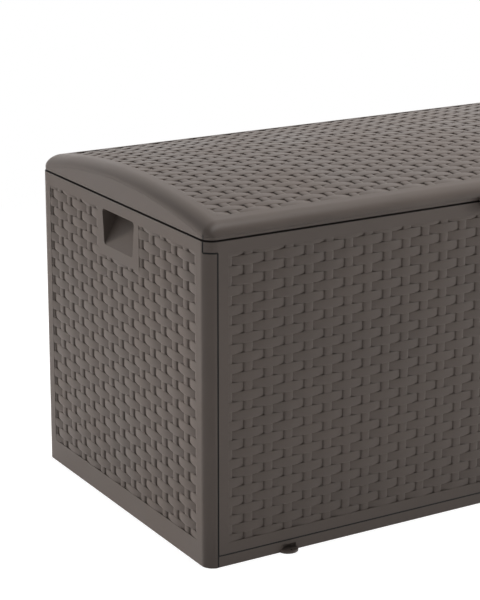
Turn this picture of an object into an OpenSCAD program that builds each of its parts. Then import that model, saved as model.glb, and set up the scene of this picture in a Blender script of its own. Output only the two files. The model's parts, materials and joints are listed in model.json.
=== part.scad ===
// Deck storage box with woven-look panels, an arched lid on three hinges and two gas struts.
// X runs along the front, Y from the front to the back, Z up. The origin is on the ground,
// in the middle of the box.

/* [Body] */
// Length of the body
body_length = 1560; // [1300:10:1800]
// Depth of the body without its ears
body_depth = 746; // [640:2:860]
// Height of the wall top above the ground
wall_height = 679; // [600:1:760]
// Plan radius of the upright corners
corner_radius = 26; // [20:1:32]
// Thickness of the smooth panel borders
border_wall = 10; // [9:0.5:13]
// Depth of the sunken woven fields
field_depth = 6; // [5:0.5:7]
// Depth of the inner ribs and top flanges, from the outer face
rail_depth = 24; // [20:1:30]
// Thickness of the top flange
flange_height = 12; // [8:1:16]
// Thickness of every stiffening rib
rib_wall = 3; // [2:0.5:5]
// Spacing of the wall ribs
rib_pitch = 94.5; // [70:0.5:140]

/* [Woven fields] */
// Distance from the body end to the front field
field_end_margin = 48.5; // [42:0.5:70]
// Distance from the front face to the end panel's field
field_side_margin = 45; // [38:0.5:60]
// Distance from the wall top down to the fields
field_top_margin = 27; // [24:0.5:40]
// Height of the fields' lower edge above the ground
field_bottom = 50; // [40:1:70]
// Spacing of the upright strands
strand_pitch = 47.25; // [40:0.25:56]
// Width of an upright strand
strand_width = 17; // [14:0.5:26]
// Depth of a strand where it lies over a strip, below the border
strand_depth = 2.3; // [2:0.1:3.4]
// Spacing of the woven rows
row_pitch = 20; // [16:0.5:30]
// Gap between neighbouring rows
row_gap = 2; // [1:0.25:4]
// Depth of a strip's middle, where it lies over a strand
strip_depth = 1; // [0.5:0.1:2.6]
// Depth of a strip's ends, where it passes under the next strands
strip_end_depth = 5.5; // [3.5:0.1:5.9]
// Distance from the fields' upper edge down to the middle of the first whole row
first_row = 17; // [12:0.5:20]

/* [Corner joints] */
// How far each end panel wraps onto the front
post_width = 24; // [22:1:30]
// Height of the tab that covers the top of the corner post
tab_height = 22; // [18:1:26]
// How far that tab runs round onto the end
tab_reach = 18; // [14:1:22]
// Visible gap between neighbouring panels
panel_gap = 1.2; // [0.6:0.1:2]
// Clearance between fixed pieces that slip together
fit_gap = 0.3; // [0.2:0.05:0.5]

/* [Base] */
// Height of the foot rail
rail_height = 24; // [22:1:32]
// Set-back of the foot rail from the front panel
rail_recess = 1; // [0.5:0.25:3]
// Front to back thickness of the foot rail
rail_thickness = 17; // [14:1:24]
// Thickness of the floor plate
floor_thickness = 4; // [3:0.5:6]
// Thickness of the screw-down flanges of the walls
foot_flange = 3; // [2.5:0.5:5]
// Spacing of the floor ribs
floor_rib_pitch = 150; // [110:5:190]
// Outer width of the square floor tubes
floor_tube_width = 20; // [16:1:21]
// Wall of the steel tubes
tube_wall = 1.5; // [1:0.25:2.5]
// Distance of each floor tube from the middle
floor_tube_offset = 150; // [100:5:220]

/* [Screw-down ears] */
// Radius of an ear
ear_radius = 22; // [18:1:26]
// How far an ear stands out from the body
ear_reach = 16; // [15.5:0.5:20]
// Thickness of an ear
ear_thickness = 5; // [4:0.5:8]
// Distance of each ear from the body end
ear_inset = 192; // [140:2:300]
// Radius of the ear's screw hole
ear_hole_radius = 3; // [2:0.25:4]
// Radius of the driver recess above an ear
ear_recess_radius = 18; // [12:1:20]
// Height of the driver recess
ear_recess_height = 10; // [8:1:13]

/* [Finger pockets] */
// Width of the pocket opening
pocket_width = 142; // [110:2:170]
// Height of the pocket opening
pocket_height = 77; // [60:1:90]
// Depth of the pocket at its top
pocket_depth = 42; // [32:1:48]
// How much narrower the opening is at its lower edge, each side
pocket_taper = 6; // [2:1:10]
// Radius of the opening's corners
pocket_corner = 8; // [4:1:12]
// Wall round the pocket
pocket_wall = 3; // [2:0.5:4]
// Height of the undercut behind the pocket's upper edge
pocket_undercut = 7; // [4:0.5:8]
// Smooth frame beside the opening
pocket_frame_side = 21; // [14:1:30]
// Smooth frame below the opening
pocket_frame_below = 24; // [16:1:34]

/* [Lid] */
// Seam between wall and lid
seam_gap = 3; // [2.6:0.1:4]
// Set-back of the lid rim from the body face
lid_inset = 1.5; // [0.5:0.25:3]
// Height of the lid from its rim to the crown
lid_rise = 64; // [54:1:80]
// Fall of the arch from the crown to the rolled edge
arch_drop = 31; // [20:1:36]
// Width of the rolled front and back edges
roll_width = 28; // [22:1:32]
// Straight part of the rim below the roll
skirt_height = 6; // [5:0.5:10]
// Width of the rounded band at each end
band_width = 35; // [26:1:42]
// Height of the flat end face at the middle
end_face_height = 43; // [34:1:48]
// Wall of the lid rim
lid_wall = 4; // [3:0.5:5]
// Thickness of the lid's smooth top border
lid_top = 10; // [9:0.5:12]
// Width of the screw ledge inside the lid rim
ledge_width = 16; // [13:1:20]
// Height of that ledge
ledge_height = 6; // [5:0.5:9]

/* [Lid frame] */
// Thickness of the frame plate
frame_plate = 4; // [3.5:0.5:6]
// Depth of the frame's cross ribs
frame_rib_depth = 22; // [21:1:28]
// Depth of the rim lip that drops into the box
lip_depth = 12; // [8:1:16]
// Clearance between that lip and the walls' flanges
lip_gap = 9; // [7:0.5:14]
// Spacing of the cross ribs
frame_rib_pitch = 194; // [150:2:230]
// Radius of the lid's steel tubes
lid_tube_radius = 9; // [6:0.5:9.5]
// Place of the front lid tube, measured back from the middle
lid_tube_front_y = -170; // [-230:5:-120]
// Place of the back lid tube, measured back from the middle
lid_tube_back_y = 60; // [20:5:70]

/* [Hinges] */
// Distance of the outer hinges from the body end
hinge_inset = 220; // [160:5:340]
// Width of a hinge
hinge_width = 80; // [64:2:100]
// Distance of the hinge pin behind the body
pin_back = 8.5; // [7.5:0.25:9]
// Height of the hinge pin above the wall top
pin_above = 2; // [1.5:0.1:2.5]
// Radius of the hinge barrels
barrel_radius = 6.5; // [5.5:0.25:6.5]
// Radius of the hinge pin
pin_radius = 3; // [2:0.25:3.5]
// Running clearance of pins and studs, on the radius
running_gap = 0.08; // [0.03:0.01:0.1]
// Gap between neighbouring barrels
barrel_gap = 0.5; // [0.3:0.1:1]
// Thickness of the hinge plate on the wall
hinge_plate = 3; // [2:0.5:4]
// Thickness of the leaf that lies in the seam
leaf_thickness = 2.4; // [2:0.1:2.5]
// Height of the hinge plate
hinge_plate_height = 50; // [40:1:70]
// Smooth pad round each hinge plate
hinge_pad_margin = 9; // [6:1:14]

/* [Gas struts] */
// Distance of each strut from the body end
strut_inset = 56; // [54:1:70]
// Clearance from the finger pocket to the bracket of the upper stud
strut_pocket_gap = 26; // [16:1:40]
// Angle of the lower stud below the hinge pin
foot_angle = 74; // [70:1:78]
// Angle of the upper stud below the hinge pin, lid closed
head_angle = 4; // [3.5:0.25:5]
// Outer radius of the strut tube
strut_tube_radius = 9; // [7:0.5:10]
// Wall of the strut tube
strut_tube_wall = 1.5; // [1:0.25:2]
// Radius of the strut rod
strut_rod_radius = 4; // [3:0.25:5]
// Radius of the studs
stud_radius = 4; // [3:0.25:4.5]
// Outer radius of the strut eyes
eye_radius = 9; // [7.5:0.5:10]
// Thickness of the strut eyes
eye_thickness = 8; // [6:0.5:10]
// Length of the piston
piston_length = 14; // [8:1:16]
// Thickness of the tube's end cap
cap_length = 12; // [8:1:14]
// Length of rod that shows when the lid is closed
rod_showing = 20; // [12:1:24]

/* [Lock and grip] */
// Width of each padlock eye
lock_width = 40; // [30:1:50]
// Thickness of each padlock eye
lock_thickness = 6; // [4:0.5:7]
// Radius of the padlock hole
lock_hole_radius = 4.5; // [3:0.25:5]
// Width of the whole grip, both halves
grip_width = 252; // [200:2:320]
// Gap between the two halves, round the padlock eyes
grip_middle_gap = 62; // [54:1:80]
// How far the grip hangs below the lid rim
grip_drop = 19; // [14:1:22]
// Thickness of the grip's lip
grip_wall = 4; // [3:0.5:5]

/* [Fasteners and bumpers] */
// Radius of the screws
screw_radius = 2; // [1.5:0.25:2.5]
// Radius of the screw heads
screw_head_radius = 4; // [3.5:0.25:4.5]
// Height of the screw heads
screw_head_height = 2; // [1.4:0.2:2.4]
// Radius of the rubber bumpers
bumper_radius = 7; // [5:0.5:7]
// Distance of each bumper from the body end
bumper_inset = 140; // [100:10:300]

/* [Hidden] */
$fn = 64;
half_length = body_length / 2;
half_depth = body_depth / 2;
ear_offset = half_length - ear_inset;
hinge_offset = half_length - hinge_inset;
bumper_offset = half_length - bumper_inset;
resin = [0.31, 0.28, 0.26];
resin_dark = [0.22, 0.20, 0.19];
steel = [0.55, 0.56, 0.58];
zinc = [0.66, 0.66, 0.64];
rubber_black = [0.08, 0.08, 0.08];
over = 1;                       // how far cutters run past the faces they cut

// Heights
floor_top = rail_height + floor_thickness;
wall_bottom = rail_height + panel_gap;
flange_bottom = wall_height - flange_height;
tab_bottom = wall_height - tab_height;
field_top = wall_height - field_top_margin;
foot_top = floor_top + fit_gap + foot_flange;
lid_base = wall_height + seam_gap;
crown = lid_base + lid_rise;
skirt_top = lid_base + skirt_height;

// Long walls
wall_half = half_length - post_width - panel_gap;
flange_half = half_length - max(post_width, rail_depth) - panel_gap;
long_ribs = floor((wall_half - rib_pitch / 3) / rib_pitch);
end_ribs = floor((half_depth - rail_depth - rib_pitch / 3) / rib_pitch);

// Weave
row_height = row_pitch - row_gap;
wall_rows = floor((field_top - first_row - field_bottom) / row_pitch) + 1;
strip_half = strand_pitch - strand_width / 2;

// Lid surface
lid_half_length = half_length - lid_inset;
lid_half_depth = half_depth - lid_inset;
arch_half = lid_half_depth - roll_width;
arch_radius = (arch_half * arch_half + arch_drop * arch_drop) / (2 * arch_drop);
end_face_radius = (lid_half_depth * lid_half_depth + end_face_height * end_face_height)
  / (2 * end_face_height);
lip_half_length = half_length - rail_depth - lip_gap;
lip_half_depth = half_depth - rail_depth - lip_gap;

// Hinge
pin_y = half_depth + pin_back;
pin_z = wall_height + pin_above;
leaf_bottom = lid_base - leaf_thickness;
leaf_reach = half_depth - rail_depth - fit_gap;
plate_top = pin_z - barrel_radius - 2 * hinge_plate;

// Gas struts. Both studs lie equally far from the hinge pin, so a strut turns half as far as the lid.
// Tube and rod are measured from the lower stud along the strut.
strut_x = half_length - strut_inset;
lug_half = 12;
strut_radius = (pin_y - pocket_width / 2 - pocket_wall - strut_pocket_gap - lug_half) / cos(head_angle);
foot_y = pin_y - strut_radius * cos(foot_angle);
foot_z = pin_z - strut_radius * sin(foot_angle);
head_y = pin_y - strut_radius * cos(head_angle);
head_z = pin_z - strut_radius * sin(head_angle);
closed_length = 2 * strut_radius * sin((foot_angle - head_angle) / 2);
strut_tilt = atan2(head_y - foot_y, head_z - foot_z);
tube_neck = 8;                  // from the lower eye to the tube
tube_floor = 6;                 // closed end of the tube
tube_start = eye_radius + tube_neck;
tube_end = closed_length - eye_radius - rod_showing;
rod_start = tube_start + tube_floor + 3.5;
stud_end = strut_x - eye_thickness / 2 - 1;
bracket_face = half_length - rail_depth;
bracket_plate = 3;
bracket_size = 44;
bracket_half_width = 14;
bracket_screw_inset = 8;

// Cross ribs of the lid frame stop short of the struts
frame_ribs = floor((strut_x - strut_tube_radius - 20) / frame_rib_pitch);
lid_tube_half = strut_x - strut_tube_radius - 12;
lid_tube_z = lid_base - lid_tube_radius - 1.5;

// Lock
lock_rim = 4;                   // rim round the padlock hole
lock_plate = 3;
lock_plate_drop = 14;           // how far the plate hangs below the lower eye
lock_screw_drop = 9;
lock_hole_y = -half_depth - ear_reach + lock_hole_radius + lock_rim;
lid_eye_bottom = lid_base - lock_thickness - 0.5;
body_eye_top = lid_eye_bottom - 1;
lock_screw_z = body_eye_top - lock_thickness - lock_screw_drop;

// Screws
screw_hole = screw_radius + 0.1;
head_hole = screw_head_radius + 0.2;
pilot_end = 1;                  // wall left behind a blind pilot hole
foot_screw_length = 16;
foot_boss_radius = 5;
foot_boss_length = 12;
strap_screw_y = leaf_reach + 7; // screws of the straps and leaves in the seam
foot_step = floor((long_ribs - 0.5) / 2);
long_foot_screws = [for (s = [-1, 1], i = [0:2]) s * (i * foot_step + 0.5) * rib_pitch];
end_foot_screws = [for (s = [-1, 1], i = [0, 1]) s * (i * (end_ribs - 1) + 0.5) * rib_pitch];
corner_screw_heights = [for (i = [0:2]) foot_top + (tab_bottom - foot_top) * (i + 0.5) / 3];
corner_screw_y = half_depth - (border_wall + rail_depth) / 2;
foot_screw_inset = (border_wall + rail_depth) / 2 + 0.5;
lid_screw_inset = lid_inset + lid_wall + ledge_width / 2;
bumper_foot = flange_bottom + 4;
hinge_xs = [-hinge_offset, 0, hinge_offset];
hinge_screw_share = 0.34;       // of the hinge's width, from its middle

// Base and pocket
end_beam = 10;
long_rib_y = 0.66 * half_depth;
long_rib_bottom = 4;
pocket_top = field_top + 2;     // the opening breaks the field's upper edge
pocket_low = pocket_top - pocket_height;
pocket_lip = border_wall - 1;

// Lid frame
frame_long_ribs = [-0.72, 0.72, -0.12] * lip_half_depth;
frame_long_rib_depth = 8;

// ---- Shared shapes ----

// Plan outline of the box, set in by a distance, with true round corners
module outline(inset = 0) {
  l = body_length - 2 * inset;
  d = body_depth - 2 * inset;
  r = max(corner_radius - inset, 1);
  square([l - 2 * r, d], center = true);
  square([l, d - 2 * r], center = true);
  for (sx = [-1, 1], sy = [-1, 1]) translate([sx * (l / 2 - r), sy * (d / 2 - r)]) circle(r);
}

module outline_ring(outer, inner) {
  difference() {
    outline(outer);
    outline(inner);
  }
}

// Block between two corners
module block(low, high) {
  translate(low) cube(high - low);
}

// Cylinder along X, from x0 to x1, round the line through y and z
module rod_x(r, x0, x1, y, z) {
  translate([x0, y, z]) rotate([0, 90, 0]) cylinder(r = r, h = x1 - x0);
}

// Cylinder along Y
module rod_y(r, y0, y1, x, z) {
  translate([x, y0, z]) rotate([-90, 0, 0]) cylinder(r = r, h = y1 - y0);
}

// Cylinder along Z
module rod_z(r, z0, z1, x, y) {
  translate([x, y, z0]) cylinder(r = r, h = z1 - z0);
}

// Outline in the YZ plane pushed along X
module push_x(x0, x1) {
  translate([x0, 0, 0]) rotate([90, 0, 90]) linear_extrude(x1 - x0) children();
}

// Screw standing on the origin, its head below and its shank going up
module screw(length) {
  cylinder(r = screw_head_radius, h = screw_head_height);
  translate([0, 0, screw_head_height]) cylinder(r = screw_radius, h = length);
}

module at_both_ends() {
  for (side = [0, 1]) mirror([side, 0, 0]) children();
}

// ---- Walls ----

// Front or back wall, drawn at the front
module long_panel() {
  difference() {
    union() {
      translate([0, 0, wall_bottom]) linear_extrude(wall_height - wall_bottom) intersection() {
        outline_ring(0, border_wall);
        translate([-wall_half, -half_depth]) square([2 * wall_half, border_wall]);
      }
      // tabs over the corner posts, in one with the top flange
      translate([0, 0, tab_bottom]) linear_extrude(tab_height) intersection() {
        outline_ring(0, border_wall);
        translate([-half_length, -half_depth]) square([body_length, tab_reach]);
      }
      translate([0, 0, flange_bottom]) linear_extrude(flange_height) intersection() {
        outline_ring(0, rail_depth);
        union() {
          translate([-half_length, -half_depth]) square([body_length, tab_reach]);
          translate([-flange_half, -half_depth]) square([2 * flange_half, rail_depth]);
        }
      }
      // upright ribs, foot flange and the two end flanges
      for (i = [-long_ribs:long_ribs]) block(
        [i * rib_pitch - rib_wall / 2, -half_depth + border_wall, floor_top + fit_gap],
        [i * rib_pitch + rib_wall / 2, -half_depth + rail_depth, flange_bottom]);
      block([-wall_half, -half_depth + border_wall, floor_top + fit_gap],
        [wall_half, -half_depth + rail_depth, foot_top]);
      at_both_ends() block([wall_half - rib_wall, -half_depth + border_wall, foot_top],
        [wall_half, -half_depth + rail_depth, flange_bottom]);
    }
    for (x = long_foot_screws)
      rod_z(screw_hole, floor_top, foot_top + over, x, -half_depth + foot_screw_inset);
    at_both_ends() for (z = corner_screw_heights)
      rod_x(screw_hole, wall_half - rib_wall - over, wall_half + over, -corner_screw_y, z);
  }
}

// Sunken field of a long wall, as a cutter
module long_field() {
  block([-half_length + field_end_margin, -half_depth - over, field_bottom],
    [half_length - field_end_margin, -half_depth + field_depth, field_top]);
}

// Profile of one row, along it and inwards. Strips rise over every second strand from the place given
// as first, and the strands between them lie across the row.
module row_profile(low, high, first) {
  wave = 2 * strand_pitch;
  start = first + wave * floor((low - first) / wave);
  crests = [for (c = [start:wave:high + wave]) c];
  points = [for (c = crests) each [
    [c - strip_half, strip_end_depth], [c, strip_depth], [c + strip_half, strip_end_depth],
    [c + strip_half, strand_depth], [c + wave - strip_half, strand_depth]]];
  back = max(field_depth, strip_end_depth) + over;
  intersection() {
    polygon(concat(points, [[points[len(points) - 1][0], back], [points[0][0], back]]));
    translate([low, 0]) square([high - low, back + over]);
  }
}

// Woven rows of a wall, drawn along X with their depth along Y. The strips of odd rows rise over the
// strands at first, those of even rows over the strands beside it. Rows above split_z leave a gap.
module wall_weave(half, first, split_z = wall_height, split_half = 0) {
  low = -half - over;
  high = half + over;
  for (row = [0:wall_rows]) let (
    middle = field_top - first_row - (row - 1) * row_pitch,
    z0 = max(middle - row_height / 2, field_bottom - over),
    z1 = min(middle + row_height / 2, field_top + over),
    crest = first + (row % 2 == 0 ? strand_pitch : 0))
    translate([0, 0, z0]) linear_extrude(z1 - z0) {
      if (z1 <= split_z) row_profile(low, high, crest);
      else {
        row_profile(low, over - split_half, crest);
        row_profile(split_half - over, high, crest);
      }
    }
}

// Weave in the field of a long wall
module long_weave() {
  translate([0, -half_depth, 0])
    wall_weave(half_length - field_end_margin, -strand_pitch / 2);
}

module front_panel() {
  scoop_low = field_top + 5;      // the field's border stays below the scoops
  scoop_margin = 10;
  color(resin) difference() {
    union() {
      difference() {
        long_panel();
        long_field();
      }
      long_weave();
    }
    // finger scoops behind the grips
    at_both_ends() block([grip_middle_gap / 2, -half_depth - over, scoop_low],
      [grip_width / 2 - scoop_margin, -half_depth + field_depth, wall_height + over]);
    // pilots of the padlock eye's screws
    for (x = [-1, 1]) rod_y(screw_hole, -half_depth - over, -half_depth + border_wall - pilot_end,
      x * lock_width / 4, lock_screw_z);
    // sockets of the bumpers
    for (x = [-1, 1]) rod_z(bumper_radius / 2 + 0.1, bumper_foot - 1, wall_height + over,
      x * bumper_offset, -half_depth + foot_screw_inset);
  }
}

// Smooth pads under the hinge plates, as plan blocks the field leaves standing
module hinge_pads() {
  half = hinge_width / 2 + hinge_pad_margin;
  low = plate_top - hinge_plate_height - hinge_pad_margin;
  for (x = hinge_xs) block([x - half, -half_depth - 2 * over, low],
    [x + half, -half_depth + border_wall, field_top + over]);
}

module back_panel() {
  color(resin) mirror([0, 1, 0]) difference() {
    union() {
      difference() {
        long_panel();
        difference() {
          long_field();
          hinge_pads();
        }
      }
      long_weave();
    }
    for (x = hinge_xs, p = hinge_screw_places())
      rod_y(screw_hole, -half_depth - over, -half_depth + border_wall - pilot_end, x + p[0], p[1]);
  }
}

// Outline of the finger pocket's opening, across and up, with rounded corners
module pocket_outline(grow = 0) {
  half = pocket_width / 2;
  r = pocket_corner;
  offset(r = grow) hull() {
    for (s = [-1, 1]) translate([s * (half - r), pocket_top - r]) circle(r, $fn = 32);
    for (s = [-1, 1]) translate([s * (half - pocket_taper - r), pocket_low + r]) circle(r, $fn = 32);
  }
}

// Profile of the pocket's sloping floor and undercut, inwards and up
module pocket_profile(grow = 0) {
  top = pocket_top + pocket_undercut;
  offset(delta = grow) polygon([
    [-over, pocket_low - over * pocket_height / pocket_depth],
    [pocket_depth, pocket_top - pocket_undercut], [pocket_depth, top],
    [pocket_lip, top], [pocket_lip, pocket_top], [-over, pocket_top]
  ]);
}

// End wall with its two corner posts and the finger pocket, drawn at the left
module end_panel() {
  pad = bracket_size / 2 + 6;
  frame_half = pocket_width / 2 + pocket_frame_side;
  frame_low = pocket_low - pocket_frame_below;
  difference() {
    union() {
      linear_extrude(tab_bottom - panel_gap) intersection() {
        outline_ring(0, border_wall);
        translate([-half_length, -half_depth]) square([post_width, body_depth]);
      }
      end_top_wall(border_wall, tab_bottom - panel_gap, wall_height);
      end_top_wall(rail_depth, flange_bottom, wall_height);
      for (i = [-end_ribs:end_ribs]) block(
        [-half_length + border_wall, i * rib_pitch - rib_wall / 2, floor_top + fit_gap],
        [-half_length + rail_depth, i * rib_pitch + rib_wall / 2, flange_bottom]);
      // foot flange
      block([-half_length + border_wall, -half_depth + rail_depth + panel_gap, floor_top + fit_gap],
        [-half_length + rail_depth, half_depth - rail_depth - panel_gap, foot_top]);
      // flanges of the corner posts
      for (s = [0, 1]) mirror([0, s, 0])
        block([-half_length + post_width - rib_wall, -half_depth + border_wall, foot_top],
          [-half_length + post_width, -half_depth + rail_depth, tab_bottom - panel_gap]);
      // pad that carries the strut's foot
      block([-half_length + border_wall, foot_y - pad, foot_z - pad],
        [-bracket_face, min(foot_y + pad, half_depth - rail_depth - panel_gap), foot_z + pad]);
      // walls of the finger pocket
      pocket_solid(pocket_wall, -half_length + pocket_lip);
    }
    pocket_solid(0, -half_length - over);
    // sunken field round the smooth frame of the pocket
    difference() {
      block([-half_length - over, -half_depth + field_side_margin, field_bottom],
        [-half_length + field_depth, half_depth - field_side_margin, field_top]);
      block([-half_length - 2 * over, -frame_half, frame_low],
        [-half_length + border_wall, frame_half, field_top + over]);
    }
    for (y = end_foot_screws)
      rod_z(screw_hole, floor_top, foot_top + over, -half_length + foot_screw_inset, y);
    for (s = [-1, 1], z = corner_screw_heights)
      rod_x(screw_hole, -half_length + post_width - rib_wall - over, -half_length + post_width + over,
        s * corner_screw_y, z);
    for (dz = bracket_screws())
      rod_x(screw_hole, -half_length + border_wall + pilot_end, -bracket_face + over, foot_y, foot_z + dz);
  }
}

// Top stretch of an end wall between the two tabs
module end_top_wall(thickness, z0, z1) {
  half = half_depth - tab_reach - panel_gap;
  translate([0, 0, z0]) linear_extrude(z1 - z0) intersection() {
    outline_ring(0, thickness);
    translate([-half_length, -half]) square([rail_depth, 2 * half]);
  }
}

// Space of the finger pocket, or with a wall added round it
module pocket_solid(wall, x0) {
  intersection() {
    push_x(x0, -half_length + pocket_depth + wall) union() {
      pocket_outline(wall);
      // the undercut runs straight up from the opening
      translate([-pocket_width / 2 - wall, pocket_top - pocket_corner])
        square([pocket_width + 2 * wall, pocket_corner + pocket_undercut + wall]);
    }
    translate([-half_length, pocket_width / 2 + wall, 0]) rotate([90, 0, 0])
      linear_extrude(pocket_width + 2 * wall) pocket_profile(wall);
    if (wall == 0) pocket_mouth();
  }
}

// Keeps the rounded upper corners of the opening in the outer face
module pocket_mouth() {
  push_x(-half_length - over, -half_length + pocket_lip + 0.01) pocket_outline(0);
  block([-half_length + pocket_lip, -pocket_width / 2, 0],
    [-half_length + pocket_depth, pocket_width / 2, wall_height]);
}

// End wall with the weave in its field
module woven_end_panel() {
  end_panel();
  translate([-half_length, 0, 0]) mirror([1, -1, 0])
    wall_weave(half_depth - field_side_margin, 0, pocket_low - over, pocket_width / 2 + pocket_frame_side);
}

module left_end_panel() {
  color(resin) woven_end_panel();
}

module right_end_panel() {
  color(resin) mirror([1, 0, 0]) woven_end_panel();
}

// ---- Base ----

module base_panel() {
  inset = border_wall + panel_gap;
  plate_x = half_length - inset;
  rib_half = half_depth - inset - rail_thickness / 2;
  ribs = floor((plate_x - end_beam) / floor_rib_pitch);
  cut = floor_tube_width / 2 + fit_gap;
  color(resin) difference() {
    union() {
      translate([0, 0, rail_height]) linear_extrude(floor_thickness) outline(inset);
      // foot rails, front and back, with their ears
      for (s = [0, 1]) mirror([0, s, 0]) {
        block([-wall_half, -half_depth + rail_recess, 0],
          [wall_half, -half_depth + rail_recess + rail_thickness, rail_height]);
        at_both_ends() intersection() {
          rod_z(ear_radius, 0, ear_thickness, ear_offset, -half_depth - ear_reach + ear_radius);
          block([ear_offset - ear_radius, -half_depth - ear_reach, 0],
            [ear_offset + ear_radius, -half_depth + rail_recess + 5, ear_thickness]);
        }
      }
      // end beams and cross ribs
      at_both_ends() linear_extrude(rail_height) intersection() {
        outline(inset);
        translate([plate_x - end_beam, -rib_half]) square([end_beam, 2 * rib_half]);
      }
      for (i = [-ribs:ribs]) block([i * floor_rib_pitch - rib_wall / 2, -rib_half, 0],
        [i * floor_rib_pitch + rib_wall / 2, rib_half, rail_height]);
      // long ribs
      for (s = [-1, 0, 1]) block([-plate_x, s * long_rib_y - rib_wall / 2, long_rib_bottom],
        [plate_x, s * long_rib_y + rib_wall / 2, rail_height]);
      base_screw_places() rod_z(foot_boss_radius, rail_height - foot_boss_length, rail_height, 0, 0);
    }
    // windows for the floor tubes
    for (s = [-1, 1], y = s * floor_tube_offset)
      block([-plate_x - over, y - cut, rail_height - 2 * cut + fit_gap],
        [plate_x + over, y + cut, rail_height]);
    // driver recesses and screw holes of the ears
    for (s = [0, 1]) mirror([0, s, 0]) at_both_ends() {
      rod_z(ear_recess_radius, ear_thickness, ear_thickness + ear_recess_height, ear_offset,
        -half_depth - ear_reach / 2 + 2);
      rod_z(ear_hole_radius, -over, ear_thickness + over, ear_offset, -half_depth - ear_reach / 2);
    }
    base_screw_places() rod_z(screw_hole, foot_top - foot_screw_length - pilot_end, floor_top + over, 0, 0);
  }
}

// Puts its children at every screw between a wall and the base
module base_screw_places() {
  for (x = long_foot_screws, s = [-1, 1]) translate([x, s * (half_depth - foot_screw_inset), 0]) children();
  for (y = end_foot_screws, s = [-1, 1]) translate([s * (half_length - foot_screw_inset), y, 0]) children();
}

module floor_tube(s) {
  half = half_length - border_wall - panel_gap - 2;
  color(steel) translate([0, s * floor_tube_offset, rail_height - floor_tube_width / 2])
    rotate([90, 0, 90]) translate([0, 0, -half]) linear_extrude(2 * half) difference() {
      square(floor_tube_width, center = true);
      square(floor_tube_width - 2 * tube_wall, center = true);
    }
}

module base_screws() {
  color(zinc) base_screw_places() translate([0, 0, foot_top + screw_head_height]) mirror([0, 0, 1])
    screw(foot_screw_length);
}

module corner_screws() {
  color(zinc) for (sx = [0, 1], sy = [-1, 1], z = corner_screw_heights)
    mirror([sx, 0, 0]) translate([wall_half - rib_wall - screw_head_height, sy * corner_screw_y, z])
      rotate([0, 90, 0]) screw(2 * rib_wall + panel_gap + 3);
}

// ---- Bumpers ----

module bumper(s) {
  color(rubber_black) {
    rod_z(bumper_radius, wall_height, lid_base - fit_gap, s * bumper_offset, -half_depth + foot_screw_inset);
    rod_z(bumper_radius / 2, bumper_foot, wall_height, s * bumper_offset,
      -half_depth + foot_screw_inset);
  }
}

// ---- Padlock eyes ----

// Half-round tab with the padlock hole, from the face of the body outwards
module eye_tab(z0, z1, back) {
  rim = lock_hole_radius + lock_rim;
  difference() {
    union() {
      intersection() {
        rod_z(rim, z0, z1, 0, lock_hole_y);
        block([-rim, lock_hole_y - rim, z0], [rim, back, z1]);
      }
      block([-lock_width / 2, lock_hole_y + 2, z0], [lock_width / 2, back, z1]);
      block([-rim, lock_hole_y, z0], [rim, back, z1]);
    }
    rod_z(lock_hole_radius, z0 - over, z1 + over, 0, lock_hole_y);
  }
}

module front_lock_eye() {
  eye_low = body_eye_top - lock_thickness;
  plate = lock_plate;
  color(resin_dark) difference() {
    union() {
      eye_tab(eye_low, body_eye_top, -half_depth);
      block([-lock_width / 2, -half_depth - plate, eye_low - lock_plate_drop],
        [lock_width / 2, -half_depth, body_eye_top]);
    }
    for (x = [-1, 1]) rod_y(screw_hole, -half_depth - plate - over, -half_depth + over,
      x * lock_width / 4, lock_screw_z);
  }
}

module lid_lock_eye() {
  color(resin_dark) difference() {
    union() {
      eye_tab(lid_eye_bottom, lid_eye_bottom + lock_thickness, -half_depth - 1);
      block([-lock_width / 2, -half_depth - 1.5, leaf_bottom], [lock_width / 2, -leaf_reach, lid_base]);
    }
    strap_screws() lid_screw_hole();
  }
}

// Screws that go up through a strap in the seam, at its inner end
module strap_screws() {
  for (x = [-1, 1]) translate([x * lock_width / 4, -strap_screw_y, leaf_bottom]) children();
}

// Countersink for a flat screw head in a thin strap, with the hole above it
module lid_screw_hole() {
  translate([0, 0, -over]) cylinder(r = head_hole - 0.5, h = over + 1.3);
  cylinder(r = screw_hole, h = lid_base + over - leaf_bottom);
}

// Screw with a thin flat head, for the straps and leaves in the seam
module flat_screw(length) {
  translate([0, 0, 0.1]) cylinder(r = screw_head_radius - 0.5, h = 1.1);
  cylinder(r = screw_radius, h = length);
}

// ---- Grips ----

module grip(side) {
  y0 = -half_depth;
  lip = y0 - ear_reach;
  mirror_x = side < 0 ? 0 : 1;
  inner = grip_middle_gap / 2 + 1;
  outer = grip_width / 2;
  color(resin) mirror([mirror_x, 0, 0]) difference() {
    union() {
      push_x(-outer, -inner) polygon([
        [-lid_half_depth - fit_gap, lid_base - leaf_thickness], [-lid_half_depth - fit_gap, skirt_top + 1],
        [y0 - 4, skirt_top + 2], [lip + 3, lid_base + 4], [lip, lid_base - 2],
        [lip, lid_base - grip_drop + 2], [lip + 1, lid_base - grip_drop],
        [lip + grip_wall - 1, lid_base - grip_drop],
        [lip + grip_wall, lid_base - grip_drop + 2], [lip + grip_wall, lid_base - 5],
        [lip + grip_wall + 3, lid_base - leaf_thickness]
      ]);
      block([-outer + 6, y0 + 1, leaf_bottom], [-inner - 6, -leaf_reach, lid_base]);
      block([-outer + 6, -lid_half_depth - 2 * fit_gap - 1, leaf_bottom], [-inner - 6, y0 + 2, lid_base]);
    }
    for (x = grip_screw_xs()) translate([-x, -strap_screw_y, leaf_bottom]) lid_screw_hole();
  }
}

function grip_screw_xs() = [grip_middle_gap / 2 + 20, grip_width / 2 - 20];

// ---- Hinges ----

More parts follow.
